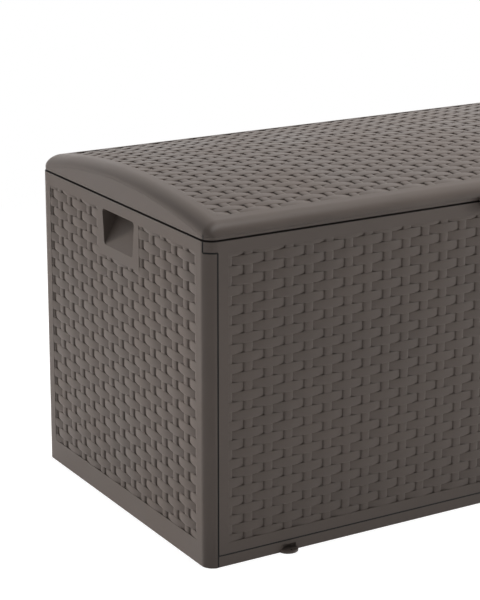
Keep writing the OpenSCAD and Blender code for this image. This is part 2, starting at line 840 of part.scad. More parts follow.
// Places of the wall plate's screws, across and up
function hinge_screw_places() = [for (sx = [-1, 1], i = [0, 1])
  [sx * hinge_width * hinge_screw_share, plate_top - hinge_plate_height * (0.25 + 0.5 * i)]];

// Places of the leaf's screws across
function leaf_screw_xs() = [-hinge_width * hinge_screw_share, hinge_width * hinge_screw_share];

middle_barrel = hinge_width * 0.35;

module hinge_base(x) {
  half = hinge_width / 2;
  split = middle_barrel / 2 + barrel_gap;
  color(zinc) translate([x, 0, 0]) difference() {
    union() {
      block([-half, half_depth, plate_top - hinge_plate_height],
        [half, half_depth + hinge_plate, plate_top]);
      at_both_ends() {
        rod_x(barrel_radius, split, half, pin_y, pin_z);
        push_x(split, half) polygon([
          [half_depth, plate_top - 8], [half_depth + hinge_plate, plate_top - 8],
          [pin_y + barrel_radius, pin_z], [pin_y, pin_z + 1], [half_depth, pin_z - 5]
        ]);
      }
    }
    rod_x(pin_radius + running_gap, -half - over, half + over, pin_y, pin_z);
    for (p = hinge_screw_places())
      rod_y(screw_hole, half_depth - over, half_depth + hinge_plate + over, p[0], p[1]);
  }
}

module hinge_leaf(x) {
  half = hinge_width / 2 - 2;
  color(zinc) translate([x, 0, 0]) difference() {
    union() {
      rod_x(barrel_radius, -middle_barrel / 2, middle_barrel / 2, pin_y, pin_z);
      block([-middle_barrel / 2, lid_half_depth - 1, leaf_bottom], [middle_barrel / 2, pin_y, lid_base]);
      block([-half, leaf_reach, leaf_bottom], [half, lid_half_depth, lid_base]);
    }
    rod_x(pin_radius + running_gap, -half, half, pin_y, pin_z);
    for (sx = leaf_screw_xs()) translate([sx, strap_screw_y, leaf_bottom]) lid_screw_hole();
  }
}

module hinge_pin(x) {
  half = hinge_width / 2 + running_gap;
  color(steel) {
    rod_x(pin_radius, x - half, x + half, pin_y, pin_z);
    rod_x(pin_radius + 1.6, x - half - 2, x - half, pin_y, pin_z);
    rod_x(pin_radius + 1.6, x + half, x + half + 2, pin_y, pin_z);
  }
}

// ---- Lid ----

// Height of the arch at y, for a crown at top
function arch_at(y, top) = top - arch_radius + sqrt(arch_radius * arch_radius - y * y);

// Half length of the lid at y, set in by side, with the round plan corners
function end_x(y, side) = let (r = max(corner_radius - lid_inset - side, 1),
  past = min(r, max(0, abs(y) - (lid_half_depth - side - r))))
  lid_half_length - side - r + sqrt(r * r - past * past);

// Upper edge of the flat end face at y
function end_face_top(y) = lid_base + end_face_height - end_face_radius
  + sqrt(end_face_radius * end_face_radius - min(y * y, lid_half_depth * lid_half_depth));

// The lid surface is a grid. A row is [kind, value]: on a roll the value is the angle up the roll,
// on the arch it is the place from -1 at the front roll to 1 at the back one.
roll_steps = 5;
arch_steps = 16;
field_share = (half_depth - field_side_margin) / arch_half;
field_share_in = field_share - 1 / arch_half;
lid_rows = concat(
  [for (i = [0:roll_steps]) [-1, 90 * i / roll_steps]],
  [[0, -field_share]],
  [for (j = [0:arch_steps]) [0, field_share_in * (2 * j / arch_steps - 1)]],
  [[0, field_share]],
  [for (i = [roll_steps:-1:0]) [1, 90 * i / roll_steps]]
);

// A column is [side, value]: the value is the angle over the end band, or past 90 a step into the field
lid_columns = concat(
  [for (i = [0:roll_steps]) [-1, 90 * i / roll_steps]], [[-1, 91], [-1, 92]],
  [[1, 92], [1, 91]], [for (i = [roll_steps:-1:0]) [1, 90 * i / roll_steps]]
);

function row_y(row, side) = row[0] == 0 ? row[1] * (arch_half - side)
  : row[0] * (arch_half - side + roll_width * cos(row[1]));

function column_x(column, y, side) = let (edge = end_x(y, side), inner = edge - band_width,
  field = min(half_length - field_end_margin, inner - 4))
  column[0] * (column[1] > 91 ? field - 1 : column[1] > 90 ? field
    : edge - band_width * (1 - cos(column[1])));

// Height of the lid surface, with its top lowered by drop and the end face by fall, down to low
function lid_z(row, column, side, drop, fall, low) = let (
  y = row_y(row, side),
  crest = row[0] == 0 ? arch_at(y, crown - drop)
    : low + (arch_at(arch_half - side, crown - drop) - low) * sin(row[1]),
  foot = min(max(low, end_face_top(y) - fall), crest))
  column[1] > 90 ? crest : foot + (crest - foot) * sin(column[1]);

// Lid skin as one closed surface: the top with its sunken field, the rim, the screw ledge
// inside the rim and the underside of the top
module lid_skin() {
  ledge_base = lid_base + frame_plate;
  ledge_top = ledge_base + ledge_height;
  n = len(lid_rows);
  m = len(lid_columns);
  count = n * m;
  function sunk(row, column) = row[0] == 0 && column[1] > 91
    && abs(row[1]) < (field_share + field_share_in) / 2;
  function place(row, column, side, z) = let (y = row_y(row, side)) [column_x(column, y, side), y, z];
  outside = [for (row = lid_rows, c = lid_columns)
    place(row, c, 0, lid_z(row, c, 0, sunk(row, c) ? field_depth : 0, 0, skirt_top))];
  inside = [for (row = lid_rows, c = lid_columns)
    place(row, c, lid_wall, lid_z(row, c, lid_wall, lid_top, lid_wall, ledge_top + 0.5))];
  rim = concat([for (i = [0:n - 1]) [i, 0]], [for (j = [1:m - 1]) [n - 1, j]],
    [for (i = [n - 2:-1:0]) [i, m - 1]], [for (j = [m - 2:-1:1]) [0, j]]);
  k = len(rim);
  // set-in and height of each loop from the outer rim round the ledge to the inner rim
  loops = [[0, lid_base], [lid_wall, lid_base], [lid_wall, ledge_base], [lid_wall + ledge_width, ledge_base],
    [lid_wall + ledge_width, ledge_top], [lid_wall, ledge_top]];
  loop_points = [for (l = loops, p = rim) place(lid_rows[p[0]], lid_columns[p[1]], l[0], l[1])];
  function rim_index(l, i) = l < 0 ? rim[i % k][0] * m + rim[i % k][1]
    : l == len(loops) ? count + rim[i % k][0] * m + rim[i % k][1] : 2 * count + l * k + i % k;
  faces = concat(
    [for (i = [0:n - 2], j = [0:m - 2], t = [0, 1]) let (a = i * m + j)
      t == 0 ? [a, a + m, a + m + 1] : [a, a + m + 1, a + 1]],
    [for (i = [0:n - 2], j = [0:m - 2], t = [0, 1]) let (a = count + i * m + j)
      t == 0 ? [a, a + m + 1, a + m] : [a, a + 1, a + m + 1]],
    [for (l = [-1:len(loops) - 1], i = [0:k - 1], t = [0, 1])
      t == 0 ? [rim_index(l, i), rim_index(l + 1, i), rim_index(l + 1, i + 1)]
        : [rim_index(l, i), rim_index(l + 1, i + 1), rim_index(l, i + 1)]]
  );
  polyhedron(concat(outside, inside, loop_points), faces);
}

// Weave in the field of the lid, one straight row after the other round the arch
module lid_weave() {
  half = half_length - field_end_margin;
  turn = row_pitch / arch_radius * 180 / PI;
  edge = asin((half_depth - field_side_margin) / arch_radius);
  rows = floor((edge / turn) - 0.5 + row_gap / row_pitch);
  translate([0, 0, crown - arch_radius]) for (row = [-rows:rows])
    rotate([-row * turn, 0, 0]) translate([0, 0, arch_radius]) rotate([-90, 0, 0])
      linear_extrude(row_height, center = true)
        row_profile(-half - over, half + over, (row % 2 == 0 ? 1 : -1) * strand_pitch / 2);
}

module lid_shell() {
  color(resin) difference() {
    union() {
      lid_skin();
      lid_weave();
    }
    lid_screw_places() cylinder(r = screw_hole, h = frame_plate + ledge_height - 1);
  }
}

// Puts its children at every screw between the frame and the shell, at the frame's underside
module lid_screw_places() {
  places_x = [for (i = [-2.5:1:2.5]) i * lid_half_length / 3];
  places_y = [-1, 0, 1] * (lid_half_depth * 0.55);
  for (x = places_x, s = [-1, 1]) translate([x, s * (half_depth - lid_screw_inset), lid_base]) children();
  for (y = places_y, s = [-1, 1]) translate([s * (half_length - lid_screw_inset), y, lid_base]) children();
}

module lid_frame() {
  inset = lid_inset + lid_wall + 2 * fit_gap;
  rib_low = lid_base - frame_rib_depth;
  rib_y = lip_half_depth - rib_wall;
  color(resin) difference() {
    union() {
      translate([0, 0, lid_base]) linear_extrude(frame_plate) outline(inset);
      // lip that drops into the box
      translate([0, 0, lid_base - lip_depth]) linear_extrude(lip_depth) difference() {
        square([2 * lip_half_length, 2 * lip_half_depth], center = true);
        square([2 * (lip_half_length - rib_wall), 2 * (lip_half_depth - rib_wall)], center = true);
      }
      // cross ribs that carry the tubes
      for (i = [-frame_ribs:frame_ribs]) block([i * frame_rib_pitch - rib_wall / 2, -rib_y, rib_low],
        [i * frame_rib_pitch + rib_wall / 2, rib_y, lid_base]);
      // shallow long ribs
      for (y = frame_long_ribs) block([-lid_tube_half, y - rib_wall / 2, lid_base - frame_long_rib_depth],
        [lid_tube_half, y + rib_wall / 2, lid_base]);
    }
    for (y = [lid_tube_front_y, lid_tube_back_y])
      rod_x(lid_tube_radius + fit_gap, -lid_tube_half - over, lid_tube_half + over, y, lid_tube_z);
    lid_screw_places() {
      translate([0, 0, -over]) cylinder(r = head_hole, h = over + screw_head_height + 0.1);
      cylinder(r = screw_hole, h = frame_plate + over);
    }
    fitting_holes();
  }
}

// Pilot holes in the frame plate for the hinges, grips, padlock eye and strut heads
module fitting_holes() {
  low = lid_base - over;
  top = lid_base + frame_plate + over;
  for (x = hinge_xs, sx = leaf_screw_xs()) rod_z(screw_hole, low, top, x + sx, strap_screw_y);
  for (x = grip_screw_xs(), s = [-1, 1]) rod_z(screw_hole, low, top, s * x, -strap_screw_y);
  strap_screws() cylinder(r = screw_hole, h = top - leaf_bottom);
  for (s = [-1, 1], dy = bracket_screws()) rod_z(screw_hole, low, top, s * head_plate_x, head_y + dy);
}

module lid_screws() {
  color(zinc) lid_screw_places() screw(frame_plate + ledge_height - screw_head_height - 2);
}

module lid_tube(y) {
  color(steel) difference() {
    rod_x(lid_tube_radius, -lid_tube_half, lid_tube_half, y, lid_tube_z);
    rod_x(lid_tube_radius - tube_wall, -lid_tube_half - over, lid_tube_half + over, y, lid_tube_z);
  }
}

// ---- Gas struts ----

function bracket_screws() = [-1, 1] * (bracket_size / 2 - bracket_screw_inset);

head_plate_x = strut_x + eye_thickness / 2 + 2;
stud_plate_x = strut_x + eye_thickness / 2 + 6;

// Stud from a plate at x to past the eye, with its retaining cap, drawn at the right
module stud(x, y, z) {
  rod_x(stud_radius, stud_end - 1, x + 0.5, y, z);
  rod_x(stud_radius + 2, stud_end - 2.5, stud_end, y, z);
}

// Bracket on the end wall, drawn at the right
module strut_foot() {
  half = bracket_size / 2;
  color(steel) difference() {
    union() {
      block([bracket_face - bracket_plate, foot_y - bracket_half_width, foot_z - half],
        [bracket_face, foot_y + bracket_half_width, foot_z + half]);
      rod_x(stud_radius + 4, stud_plate_x - 1, bracket_face - bracket_plate, foot_y, foot_z);
      stud(stud_plate_x, foot_y, foot_z);
    }
    for (dz = bracket_screws()) rod_x(screw_hole, bracket_face - bracket_plate - over, bracket_face + over,
      foot_y, foot_z + dz);
  }
}

// Bracket under the lid frame, drawn at the right
module strut_head() {
  half = bracket_size / 2;
  lug = 3;
  color(steel) difference() {
    union() {
      block([strut_x - 8, head_y - half, lid_base - bracket_plate],
        [stud_plate_x + lug, head_y + half, lid_base]);
      block([stud_plate_x, head_y - lug_half, head_z - lug],
        [stud_plate_x + lug, head_y + lug_half, lid_base - bracket_plate]);
      rod_x(lug_half, stud_plate_x, stud_plate_x + lug, head_y, head_z - lug);
      stud(stud_plate_x, head_y, head_z);
    }
    for (dy = bracket_screws()) rod_z(screw_hole, lid_base - bracket_plate - over, lid_base + over,
      head_plate_x, head_y + dy);
  }
}

// Turns a strut drawn upwards from its lower stud into its closed place, at the right
module strut_place() {
  translate([strut_x, foot_y, foot_z]) rotate([-strut_tilt, 0, 0]) children();
}

// Eye of a strut at a height, with its neck towards the strut's middle
module strut_eye(z, neck0, neck1, neck_radius) {
  difference() {
    union() {
      rod_x(eye_radius, -eye_thickness / 2, eye_thickness / 2, 0, z);
      rod_z(neck_radius, neck0, neck1, 0, 0);
    }
    rod_x(stud_radius + running_gap, -eye_thickness, eye_thickness, 0, z);
  }
}

module strut_tube() {
  color(rubber_black) strut_place() difference() {
    union() {
      strut_eye(0, stud_radius + 2, tube_start + 2, 3.5);
      rod_z(strut_tube_radius, tube_start, tube_end, 0, 0);
    }
    rod_z(strut_tube_radius - strut_tube_wall, tube_start + tube_floor, tube_end - cap_length, 0, 0);
    rod_z(strut_rod_radius + fit_gap, tube_start + tube_floor, tube_end + over, 0, 0);
  }
}

module strut_rod() {
  color(steel) strut_place() {
    strut_eye(closed_length, tube_end + 4, closed_length - stud_radius - 2, strut_rod_radius);
    rod_z(strut_rod_radius, rod_start, closed_length - eye_radius + 2, 0, 0);
    rod_z(strut_tube_radius - strut_tube_wall - fit_gap, rod_start, rod_start + piston_length, 0, 0);
  }
}

module box_fitting_screws() {
  color(zinc) {
    for (x = hinge_xs, p = hinge_screw_places())
      translate([x + p[0], half_depth + hinge_plate + screw_head_height, p[1]]) rotate([90, 0, 0])
        screw(hinge_plate + border_wall - 3);
    for (x = [-1, 1]) translate([x * lock_width / 4, -half_depth - lock_plate - screw_head_height,
      lock_screw_z]) rotate([-90, 0, 0]) screw(lock_plate + border_wall - 3);
    at_both_ends() for (dz = bracket_screws())
      translate([bracket_face - bracket_plate - screw_head_height, foot_y, foot_z + dz])
        rotate([0, 90, 0]) screw(bracket_plate + rail_depth - border_wall - 3);
  }
}

module lid_fitting_screws() {
  reach = lid_base + frame_plate - 1 - leaf_bottom;
  color(zinc) {
    for (x = hinge_xs, sx = leaf_screw_xs())
      translate([x + sx, strap_screw_y, leaf_bottom]) flat_screw(reach);
    for (x = grip_screw_xs(), s = [-1, 1]) translate([s * x, -strap_screw_y, leaf_bottom]) flat_screw(reach);
    strap_screws() flat_screw(reach);
    for (s = [-1, 1], dy = bracket_screws())
      translate([s * head_plate_x, head_y + dy, lid_base - bracket_plate - screw_head_height])
        screw(bracket_plate + frame_plate - 1);
  }
}

base_panel();
front_panel();
back_panel();
left_end_panel();
right_end_panel();
floor_tube(-1);  // floor_tube_front
floor_tube(1);  // floor_tube_back
front_lock_eye();
bumper(-1);  // bumper_left
bumper(1);  // bumper_right
corner_screws();
base_screws();
box_fitting_screws();
mirror([1, 0, 0]) strut_foot();  // left_strut_foot
strut_foot();  // right_strut_foot
hinge_base(-hinge_offset);  // hinge_base_left
hinge_base(0);  // hinge_base_middle
hinge_base(hinge_offset);  // hinge_base_right
hinge_pin(-hinge_offset);  // hinge_pin_left
hinge_pin(0);  // hinge_pin_middle
hinge_pin(hinge_offset);  // hinge_pin_right
lid_shell();
lid_frame();
lid_tube(lid_tube_front_y);  // lid_tube_front
lid_tube(lid_tube_back_y);  // lid_tube_back
lid_lock_eye();
grip(-1);  // left_grip
grip(1);  // right_grip
hinge_leaf(-hinge_offset);  // hinge_leaf_left
hinge_leaf(0);  // hinge_leaf_middle
hinge_leaf(hinge_offset);  // hinge_leaf_right
mirror([1, 0, 0]) strut_head();  // left_strut_head
strut_head();  // right_strut_head
lid_screws();
lid_fitting_screws();
mirror([1, 0, 0]) strut_tube();  // left_strut_tube
mirror([1, 0, 0]) strut_rod();  // left_strut_rod
strut_tube();  // right_strut_tube
strut_rod();  // right_strut_rod
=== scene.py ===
import bpy, json, math
import numpy as np
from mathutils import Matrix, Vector


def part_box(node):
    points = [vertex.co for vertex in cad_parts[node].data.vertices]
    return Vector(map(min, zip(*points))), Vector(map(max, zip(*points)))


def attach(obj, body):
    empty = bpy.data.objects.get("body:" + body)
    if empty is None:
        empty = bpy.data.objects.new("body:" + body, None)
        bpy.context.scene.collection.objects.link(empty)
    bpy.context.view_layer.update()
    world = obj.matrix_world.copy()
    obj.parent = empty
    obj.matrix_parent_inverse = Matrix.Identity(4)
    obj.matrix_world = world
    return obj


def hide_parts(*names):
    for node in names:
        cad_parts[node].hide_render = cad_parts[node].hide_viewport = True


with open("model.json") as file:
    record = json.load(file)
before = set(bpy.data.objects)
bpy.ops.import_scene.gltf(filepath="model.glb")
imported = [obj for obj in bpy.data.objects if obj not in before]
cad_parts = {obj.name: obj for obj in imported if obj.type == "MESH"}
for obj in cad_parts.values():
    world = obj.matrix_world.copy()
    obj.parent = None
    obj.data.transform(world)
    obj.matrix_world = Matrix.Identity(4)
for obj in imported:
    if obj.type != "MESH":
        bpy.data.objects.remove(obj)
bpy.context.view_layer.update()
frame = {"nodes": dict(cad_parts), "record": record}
print("frame loaded:", len(frame["nodes"]), "nodes")

frontLow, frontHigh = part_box("front_panel")
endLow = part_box("left_end_panel")[0]
lidLow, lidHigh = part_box("lid_shell")
halfLength, halfDepth, wallTop = -endLow.x, -frontLow.y, frontHigh.z


# materials

# Empty node group with named float inputs, and outputs as (name: kind).
def makeGroup(name, inputs, outputs):
    group = bpy.data.node_groups.new(name, "ShaderNodeTree")
    for label in inputs:
        group.interface.new_socket(label, in_out="INPUT", socket_type="NodeSocketFloat")
    for label, kind in outputs.items():
        group.interface.new_socket(label, in_out="OUTPUT", socket_type=kind)
    return group, group.nodes.new("NodeGroupInput"), group.nodes.new("NodeGroupOutput")


# Outputs of a group's node, with values on its inputs.
def useGroup(tree, group, **values):
    node = tree.nodes.new("ShaderNodeGroup")
    node.node_tree = group
    for key, value in values.items():
        node.inputs[key].default_value = value
    return node.outputs


# A node with settings as attributes, and links as (input, source socket or value).
def addNode(tree, kind, links=(), **settings):
    node = tree.nodes.new(kind)
    for key, value in settings.items():
        setattr(node, key, value)
    for label, source in links:
        if isinstance(source, bpy.types.NodeSocket):
            tree.links.new(source, node.inputs[label])
        else:
            node.inputs[label].default_value = source
    return node


# Result of one Math node. The values are numbers or sockets.
def calc(tree, operation, *values):
    return addNode(tree, "ShaderNodeMath", enumerate(values), operation=operation).outputs[0]


# A value carried from the range start to end into the range low to high, with smooth ends if soft.
def ramp(tree, value, start, end, low=0.0, high=1.0, soft=False):
    links = [("Value", value), ("From Min", start), ("From Max", end), ("To Min", low), ("To Max", high)]
    kind = "SMOOTHSTEP" if soft else "LINEAR"
    return addNode(tree, "ShaderNodeMapRange", links, interpolation_type=kind).outputs["Result"]


# Colour between first and second. A Mix node has its colours at inputs 6 and 7 and output 2.
def mixColour(tree, factor, first, second):
    links = [("Factor", factor), (6, first), (7, second)]
    return addNode(tree, "ShaderNodeMix", links, data_type="RGBA").outputs[2]


# Moulded grain: fine noise for bump and roughness, slow noise for shade.
def buildGrain():
    group, into, out = makeGroup("mouldedGrain", ["Grain", "Blotch"],
        {"Shade": "NodeSocketFloat", "Rough": "NodeSocketFloat", "Height": "NodeSocketFloat"})
    place = addNode(group, "ShaderNodeTexCoord").outputs["Object"]
    fine = addNode(group, "ShaderNodeTexNoise", [("Vector", place), ("Scale", into.outputs["Grain"]),
        ("Detail", 3.0), ("Roughness", 0.6)]).outputs["Fac"]
    slow = addNode(group, "ShaderNodeTexNoise", [("Vector", place), ("Scale", into.outputs["Blotch"]),
        ("Detail", 4.0), ("Roughness", 0.55)]).outputs["Fac"]
    shade = ramp(group, slow, start=0.3, end=0.7)
    rough = calc(group, "MULTIPLY", calc(group, "ADD", fine, shade), 0.5)
    for label, source in (("Shade", shade), ("Rough", rough), ("Height", fine)):
        group.links.new(source, out.inputs[label])
    return group


# Rounded look of an edge, and a mask that is 1 along it. The mask grows as the cosine between the
# rounded and the plain normal falls.
def buildEdges():
    group, into, out = makeGroup("softEdges", ["Radius"],
        {"Normal": "NodeSocketVector", "Edge": "NodeSocketFloat"})
    rounded = addNode(group, "ShaderNodeBevel", [("Radius", into.outputs["Radius"])],
        samples=4).outputs["Normal"]
    plain = addNode(group, "ShaderNodeNewGeometry").outputs["Normal"]
    cosine = addNode(group, "ShaderNodeVectorMath", [(0, rounded), (1, plain)],
        operation="DOT_PRODUCT").outputs["Value"]
    group.links.new(rounded, out.inputs["Normal"])
    group.links.new(ramp(group, cosine, start=0.98, end=0.75), out.inputs["Edge"])
    return group


# Painted shade in the joints where panels meet: black that stands in for the shadow in the gaps, placed
# in metres from the part's own origin.
seams = dict(
    half=0.0018,         # half of a joint's width
    post=0.7554,         # x of the upright joint between a long wall and a corner post
    tabBottom=0.6564,    # z of the lower edge of the tab that wraps round a corner
    tabSide=0.3544,      # y of the tab's end on the end wall
    railTop=0.0246,      # z of the joint over the foot rail
    face=0.003,          # what lies nearer than this to the outline is an outer face
    topReach=0.0006,     # how far the joint under the lid reaches up and down
    corner=0.026,        # radius of the walls' corners in plan
    depth=0.95)          # how dark the painted shade in a joint is


# Mask of painted shade: 1 along the joints of the outer faces, where shadow falls in the gaps.
def buildSeams():
    group, _, out = makeGroup("paintedSeamShade", [], {"Seam": "NodeSocketFloat"})

    def work(operation, *values):
        return calc(group, operation, *values)

    def along(axis, key):
        return work("COMPARE", axis, seams[key], seams["half"])

    def both(first, second):
        return work("MULTIPLY", first, second)

    place = addNode(group, "ShaderNodeTexCoord").outputs["Object"]
    axes = addNode(group, "ShaderNodeSeparateXYZ", [("Vector", place)]).outputs
    x = work("ABSOLUTE", axes["X"])
    y = work("ABSOLUTE", axes["Y"])
    z = axes["Z"]
    onLong = work("GREATER_THAN", y, halfDepth - seams["face"])
    onEnd = work("GREATER_THAN", x, halfLength - seams["face"])
    overTab = work("GREATER_THAN", z, seams["tabBottom"])
    underTab = work("SUBTRACT", 1.0, overTab)
    post = both(both(along(x, "post"), onLong), underTab)
    tab = both(along(z, "tabBottom"), work("GREATER_THAN", x, seams["post"]))
    tab = both(tab, work("GREATER_THAN", y, seams["tabSide"]))
    side = both(both(along(y, "tabSide"), onEnd), overTab)
    rail = both(both(along(z, "railTop"), onLong), work("LESS_THAN", x, seams["post"]))
    seam = both(work("GREATER_THAN", z, wallTop - seams["topReach"]),
        work("LESS_THAN", z, lidLow.z + seams["topReach"]))
    # painted shade only on the rim of the joint under the lid: beyond a rounded rectangle a little inside
    # the outline
    cornerX = work("MAXIMUM", work("SUBTRACT", x, halfLength - seams["corner"]), 0.0)
    cornerY = work("MAXIMUM", work("SUBTRACT", y, halfDepth - seams["corner"]), 0.0)
    across = work("ADD", both(cornerX, cornerX), both(cornerY, cornerY))
    seam = both(seam, work("GREATER_THAN", across, (seams["corner"] - seams["face"]) ** 2))
    for line in (post, tab, side, rail):
        seam = work("MAXIMUM", seam, line)
    group.links.new(seam, out.inputs["Seam"])
    return group


grain, softEdges, paintedSeamShade = buildGrain(), buildEdges(), buildSeams()


# Principled finish: colour between dark and light by blotches, a lighter edge colour along edges that is
# partly wear and partly a painted highlight, black painted shade in the joints where asked for, roughness
# that varies with the grain, and a fine bump.
def makeFinish(name, dark, light, edge, roughness, roughSpread=0.06, metallic=0.0, specular=0.5,
               grainScale=700.0, blotchScale=6.0, bump=0.00004, edgeRadius=0.0012, edgeShare=0.5,
               seamShaded=False):
    material = bpy.data.materials.new(name)
    material.use_nodes = True
    tree = material.node_tree
    shader = tree.nodes["Principled BSDF"]
    texture = useGroup(tree, grain, Grain=grainScale, Blotch=blotchScale)
    edges = useGroup(tree, softEdges, Radius=edgeRadius)
    colour = mixColour(tree, texture["Shade"], (*dark, 1), (*light, 1))
    # lighter edge colour: partly wear, partly a painted highlight along rounded edges
    colour = mixColour(tree, calc(tree, "MULTIPLY", edges["Edge"], edgeShare), colour, (*edge, 1))
    # painted shade: the joints turn black, standing in for the shadow in their gaps
    if seamShaded:
        gap = calc(tree, "MULTIPLY", useGroup(tree, paintedSeamShade)["Seam"], seams["depth"])
        colour = mixColour(tree, gap, colour, (0, 0, 0, 1))
    rough = ramp(tree, texture["Rough"], start=0.25, end=0.75, low=roughness - roughSpread,
        high=roughness + roughSpread)
    relief = addNode(tree, "ShaderNodeBump", [("Height", texture["Height"]), ("Distance", bump),
        ("Strength", 1.0), ("Normal", edges["Normal"])]).outputs["Normal"]
    for label, source in (("Base Color", colour), ("Roughness", rough), ("Normal", relief)):
        tree.links.new(source, shader.inputs[label])
    shader.inputs["Metallic"].default_value = metallic
    shader.inputs["Specular IOR Level"].default_value = specular
    return material


# the edge colour is lighter: partly wear, partly a painted highlight along rounded edges
resinColour = dict(dark=(0.0905, 0.0718, 0.0618), light=(0.103, 0.0820, 0.0707),
    edge=(0.135, 0.108, 0.095), seamShaded=True)
finishes = {
    "resin_panel": makeFinish("resinPanel", **resinColour, roughness=0.52, specular=0.25),
    "resin_lid": makeFinish("resinLid", **resinColour, roughness=0.43, specular=0.25),
    "resin_trim": makeFinish("resinTrim", dark=(0.050, 0.041, 0.036), light=(0.058, 0.047, 0.041),
        edge=(0.09, 0.075, 0.068), roughness=0.42, specular=0.4),
    "galvanised_tube": makeFinish("galvanisedTube", dark=(0.32, 0.33, 0.345), light=(0.47, 0.48, 0.49),
        edge=(0.55, 0.55, 0.56), roughness=0.42, metallic=0.9, grainScale=300.0, blotchScale=90.0),
    "zinc_hinge": makeFinish("zincHinge", dark=(0.30, 0.30, 0.295), light=(0.41, 0.405, 0.385),
        edge=(0.55, 0.55, 0.53), roughness=0.40, metallic=0.9, blotchScale=60.0, edgeRadius=0.0006),
    "zinc_screw": makeFinish("zincScrew", dark=(0.34, 0.34, 0.33), light=(0.45, 0.44, 0.42),
        edge=(0.60, 0.60, 0.58), roughness=0.36, metallic=0.9, blotchScale=120.0, edgeRadius=0.0003),
    "strut_black": makeFinish("strutBlack", dark=(0.016, 0.016, 0.017), light=(0.022, 0.022, 0.023),
        edge=(0.06, 0.06, 0.06), roughness=0.34, blotchScale=40.0, bump=0.00002, edgeRadius=0.0006),
    "strut_steel": makeFinish("strutSteel", dark=(0.62, 0.63, 0.65), light=(0.70, 0.71, 0.73),
        edge=(0.80, 0.80, 0.82), roughness=0.16, metallic=1.0, bump=0.000005, edgeRadius=0.0004),
    "rubber": makeFinish("bumperRubber", dark=(0.018, 0.018, 0.018), light=(0.026, 0.026, 0.026),
        edge=(0.05, 0.05, 0.05), roughness=0.74, grainScale=1400.0, edgeRadius=0.0008),
}
slotOf = {part["node"]: part["material_slot"] for part in frame["record"]["subparts"]}
for nodeName, nodeObject in frame["nodes"].items():
    nodeObject.material_slots[0].material = finishes[slotOf[nodeName]]
print("finishes on", len(slotOf), "nodes")


# meshes

# Puts an array of points and a list of faces into a mesh that rides on a body. The faces look outward
# when six times the volume, the sum of a . (b x c) over the triangles, is above 0, or else are turned.
def addPiece(name, points, faces, body, slotName, sharpAngle):
    mesh = bpy.data.meshes.new(name)
    mesh.from_pydata(points.tolist(), [], faces)
    mesh.validate()
    mesh.calc_loop_triangles()
    corners = np.empty(len(mesh.loop_triangles) * 3, np.int32)
    mesh.loop_triangles.foreach_get("vertices", corners)
    a, b, c = points[corners.reshape(-1, 3)].transpose(1, 0, 2)
    if np.einsum("ij,ij->i", a, np.cross(b, c)).sum() < 0:
        mesh.flip_normals()
    mesh.polygons.foreach_set("use_smooth", np.ones(len(mesh.polygons), bool))
    mesh.set_sharp_from_angle(angle=math.radians(sharpAngle))
    mesh.materials.append(finishes[slotName])
    piece = bpy.data.objects.new(name, mesh)
    bpy.context.scene.collection.objects.link(piece)
    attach(piece, body)
    print(name, len(mesh.loop_triangles), "triangles")
    return piece


# Quads of a grid stored row after row.
def gridQuads(rows, columns, start=0):
    a = (np.arange(rows - 1)[:, None] * columns + np.arange(columns - 1)[None, :]).ravel() + start
    return np.stack([a, a + 1, a + columns + 1, a + columns], 1).tolist()


# woven fields

weave = dict(
    strandPitch=0.04725, rowPitch=0.020,
    middleStrand=14.5,   # the number at the middle of a long side, half way between two strands
    firstRow=0.635,      # height of row 1 on the walls
    strandHalf=0.0102,   # half of a strand's width
    arch=0.0038,         # how far a strip falls from its crest to the edge of the next strand
    stripEdge=0.0022,    # how far it is rounded off towards its long edges
    stripPower=4,        # of the superellipse that rounds it, and of a strand's dip
    strandLevel=0.0007,  # how far a strand's top lies below a strip's crest
    strandDip=0.0005,    # how far a strand falls towards the strips it passes under
    strandEdge=0.0029,   # how far it is rounded off to its sides
    strandPower=2.6,     # of the superellipse that rounds it
    bow=0.0007,          # how much wider a strip is at its crest
    sink=0.0002,         # how far the crests lie below the smooth border
    back=0.0059,         # depth of the flat back, just above the bottom of the sunken field
    thinnest=0.0002,     # least height above the back
    lineGap=0.002,       # least distance of a grid line from a block's end, in pitches
    sharpAngle=40)
field = dict(endMargin=0.0485, sideMargin=0.045, topMargin=0.027, bottom=0.050, gap=0.00005)

# grid lines to either side of a strand's and a row's middle, closer together where the surface bends
strandLines = np.array([0, 0.0045, 0.0075, 0.0093, 0.0101, 0.0103, 0.0145, 0.0190])
rowLines = np.array([0, 0.0045, 0.008, 0.0091, 0.00985])


# Grid lines in pitches: every whole number plus and minus the offsets, and half way if middle.
def weaveLines(low, high, offsets, pitch, middle):
    steps = np.concatenate([offsets, -offsets[1:]]) / pitch
    if middle:
        steps = np.append(steps, 0.5)
    whole = np.arange(math.floor(low) - 1, math.ceil(high) + 2)
    lines = (whole[:, None] + steps[None, :]).ravel()
    inside = lines[(lines > low + weave["lineGap"]) & (lines < high - weave["lineGap"])]
    return np.concatenate([[low], np.sort(inside), [high]])


